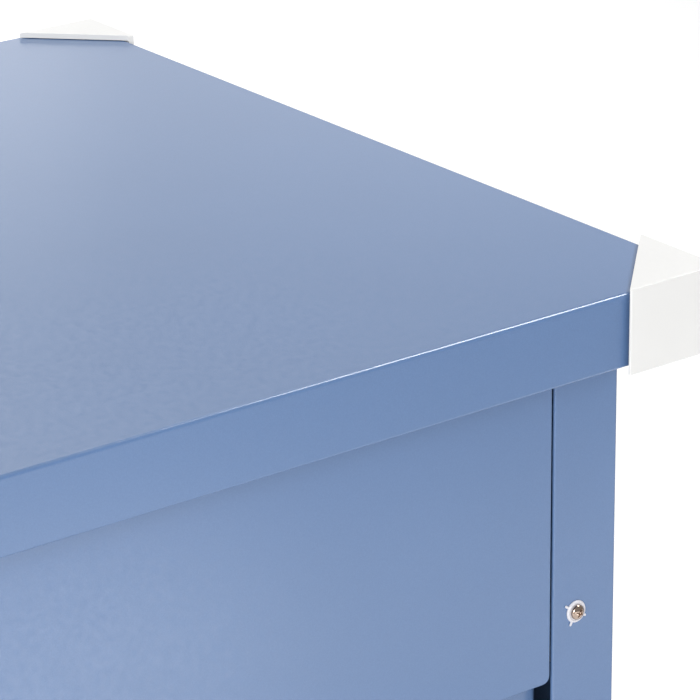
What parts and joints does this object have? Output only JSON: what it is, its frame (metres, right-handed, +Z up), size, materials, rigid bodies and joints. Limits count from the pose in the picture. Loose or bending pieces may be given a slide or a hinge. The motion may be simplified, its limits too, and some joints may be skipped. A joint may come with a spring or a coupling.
{
  "type": "medication cart",
  "caption": "Sheet-steel medication cart: drawers with finger gaps, folded overhanging worktop with corner bumpers, push handle, swivel casters.",
  "frame": {"origin": "on the floor, in the middle of the overall footprint, push handle included", "axes": "+Z up, drawers face -Y, +X to the right of a person who faces the drawers; the push handle is on the -X side"},
  "size_m": [0.7584, 0.569, 1.0034],
  "materials": {
    "powder_coat_blue": "satin powder coat with a fine orange peel",
    "bumper_plastic_white": "moulded, satin",
    "screw_zinc": "zinc plated",
    "screw_nickel": "nickel plated, bright",
    "ring_plastic": "moulded, satin",
    "slide_zinc": "zinc plated sheet",
    "divider_plastic": "extruded sheet, satin",
    "handle_stainless": "brushed along the tube",
    "bracket_plastic": "moulded, satin",
    "lock_chrome": "polished",
    "caster_zinc": "zinc plated pressing",
    "wheel_plastic": "moulded, satin",
    "tyre_rubber": "non-marking rubber, matt",
    "pedal_plastic": "moulded, satin"
  },
  "bodies": {
    "root": {"worktop": "powder_coat_blue", "bumper_front_right": "bumper_plastic_white", "bumper_front_left": "bumper_plastic_white", "bumper_rear_right": "bumper_plastic_white", "bumper_rear_left": "bumper_plastic_white", "panel_screws": "screw_zinc", "side_panel_left": "powder_coat_blue", "side_panel_right": "powder_coat_blue", "back_panel": "powder_coat_blue", "bottom_pan": "powder_coat_blue", "top_rails": "powder_coat_blue", "chassis_rails": "powder_coat_blue", "slide_cabinet_members": "slide_zinc", "post_screw_rings": "ring_plastic", "post_screws": "screw_nickel", "push_handle": "handle_stainless", "handle_brackets": "bracket_plastic", "handle_screws": "screw_zinc", "lock_barrel": "lock_chrome", "lock_bar_guides": "slide_zinc", "caster_top_plates": "caster_zinc", "caster_bolts": "screw_zinc"},
    "drawer_1": {"drawer_box_1": "powder_coat_blue", "drawer_front_1": "powder_coat_blue", "drawer_slides_and_catch_1": "slide_zinc", "drawer_1_card_dividers": "divider_plastic"},
    "slide_middle_1": {"slide_middle_members_1": "slide_zinc"},
    "drawer_2": {"drawer_box_2": "powder_coat_blue", "drawer_front_2": "powder_coat_blue", "drawer_slides_and_catch_2": "slide_zinc"},
    "slide_middle_2": {"slide_middle_members_2": "slide_zinc"},
    "drawer_3": {"drawer_box_3": "powder_coat_blue", "drawer_front_3": "powder_coat_blue", "drawer_slides_and_catch_3": "slide_zinc"},
    "slide_middle_3": {"slide_middle_members_3": "slide_zinc"},
    "drawer_4": {"drawer_box_4": "powder_coat_blue", "drawer_front_4": "powder_coat_blue", "drawer_slides_and_catch_4": "slide_zinc"},
    "slide_middle_4": {"slide_middle_members_4": "slide_zinc"},
    "swivel_front_left": {"caster_fork_front_left": "caster_zinc", "caster_axle_front_left": "screw_zinc"},
    "wheel_front_left": {"caster_wheel_front_left": "wheel_plastic", "caster_tyre_front_left": "tyre_rubber"},
    "pedal_front_left": {"brake_pedal_front_left": "pedal_plastic"},
    "swivel_front_right": {"caster_fork_front_right": "caster_zinc", "caster_axle_front_right": "screw_zinc"},
    "wheel_front_right": {"caster_wheel_front_right": "wheel_plastic", "caster_tyre_front_right": "tyre_rubber"},
    "swivel_rear_left": {"caster_fork_rear_left": "caster_zinc", "caster_axle_rear_left": "screw_zinc"},
    "wheel_rear_left": {"caster_wheel_rear_left": "wheel_plastic", "caster_tyre_rear_left": "tyre_rubber"},
    "pedal_rear_left": {"brake_pedal_rear_left": "pedal_plastic"},
    "swivel_rear_right": {"caster_fork_rear_right": "caster_zinc", "caster_axle_rear_right": "screw_zinc"},
    "wheel_rear_right": {"caster_wheel_rear_right": "wheel_plastic", "caster_tyre_rear_right": "tyre_rubber"},
    "lock_plug": {"lock_plug": "lock_chrome", "lock_cam": "slide_zinc"},
    "lock_bar": {"lock_bar": "slide_zinc"}
  },
  "joints": [
    {"name": "drawer_1_slide", "type": "slide", "parent": "root", "child": "drawer_1", "axis": [0, -1, 0], "range_m": [0, 0.43]},
    {"name": "slide_middle_1_slide", "type": "slide", "parent": "root", "child": "slide_middle_1", "axis": [0, -1, 0], "range_m": [0, 0.215]},
    {"name": "drawer_2_slide", "type": "slide", "parent": "root", "child": "drawer_2", "axis": [0, -1, 0], "range_m": [0, 0.43]},
    {"name": "slide_middle_2_slide", "type": "slide", "parent": "root", "child": "slide_middle_2", "axis": [0, -1, 0], "range_m": [0, 0.215]},
    {"name": "drawer_3_slide", "type": "slide", "parent": "root", "child": "drawer_3", "axis": [0, -1, 0], "range_m": [0, 0.43]},
    {"name": "slide_middle_3_slide", "type": "slide", "parent": "root", "child": "slide_middle_3", "axis": [0, -1, 0], "range_m": [0, 0.215]},
    {"name": "drawer_4_slide", "type": "slide", "parent": "root", "child": "drawer_4", "axis": [0, -1, 0], "range_m": [0, 0.43]},
    {"name": "slide_middle_4_slide", "type": "slide", "parent": "root", "child": "slide_middle_4", "axis": [0, -1, 0], "range_m": [0, 0.215]},
    {"name": "swivel_front_left_turn", "type": "hinge", "parent": "root", "child": "swivel_front_left", "pos_m": [-0.22475, -0.188, 0.155], "axis": [0, 0, 1], "continuous": true},
    {"name": "wheel_front_left_spin", "type": "hinge", "parent": "swivel_front_left", "child": "wheel_front_left", "pos_m": [-0.26275, -0.188, 0.0625], "axis": [0, 1, 0], "continuous": true},
    {"name": "pedal_front_left_tilt", "type": "hinge", "parent": "swivel_front_left", "child": "pedal_front_left", "pos_m": [-0.28475, -0.188, 0.1285], "axis": [0, -1, 0], "range_deg": [0, 7]},
    {"name": "swivel_front_right_turn", "type": "hinge", "parent": "root", "child": "swivel_front_right", "pos_m": [0.27525, -0.188, 0.155], "axis": [0, 0, 1], "continuous": true},
    {"name": "wheel_front_right_spin", "type": "hinge", "parent": "swivel_front_right", "child": "wheel_front_right", "pos_m": [0.23725, -0.188, 0.0625], "axis": [0, 1, 0], "continuous": true},
    {"name": "swivel_rear_left_turn", "type": "hinge", "parent": "root", "child": "swivel_rear_left", "pos_m": [-0.22475, 0.192, 0.155], "axis": [0, 0, 1], "continuous": true},
    {"name": "wheel_rear_left_spin", "type": "hinge", "parent": "swivel_rear_left", "child": "wheel_rear_left", "pos_m": [-0.26275, 0.192, 0.0625], "axis": [0, 1, 0], "continuous": true},
    {"name": "pedal_rear_left_tilt", "type": "hinge", "parent": "swivel_rear_left", "child": "pedal_rear_left", "pos_m": [-0.28475, 0.192, 0.1285], "axis": [0, -1, 0], "range_deg": [0, 7]},
    {"name": "swivel_rear_right_turn", "type": "hinge", "parent": "root", "child": "swivel_rear_right", "pos_m": [0.27525, 0.192, 0.155], "axis": [0, 0, 1], "continuous": true},
    {"name": "wheel_rear_right_spin", "type": "hinge", "parent": "swivel_rear_right", "child": "wheel_rear_right", "pos_m": [0.23725, 0.192, 0.0625], "axis": [0, 1, 0], "continuous": true},
    {"name": "lock_plug_turn", "type": "hinge", "parent": "root", "child": "lock_plug", "pos_m": [-0.27275, -0.2505, 0.931], "axis": [0, -1, 0], "range_deg": [0, 90]},
    {"name": "lock_bar_drop", "type": "slide", "parent": "root", "child": "lock_bar", "axis": [0, 0, -1], "range_m": [0, 0.012]}
  ],
  "couplings": [
    {"joint": "slide_middle_1_slide", "follows": "drawer_1_slide", "ratio": 0.5},
    {"joint": "slide_middle_2_slide", "follows": "drawer_2_slide", "ratio": 0.5},
    {"joint": "slide_middle_3_slide", "follows": "drawer_3_slide", "ratio": 0.5},
    {"joint": "slide_middle_4_slide", "follows": "drawer_4_slide", "ratio": 0.5},
    {"joint": "lock_plug_turn", "follows": "lock_bar_drop", "rad_per_m": 130.9}
  ]
}
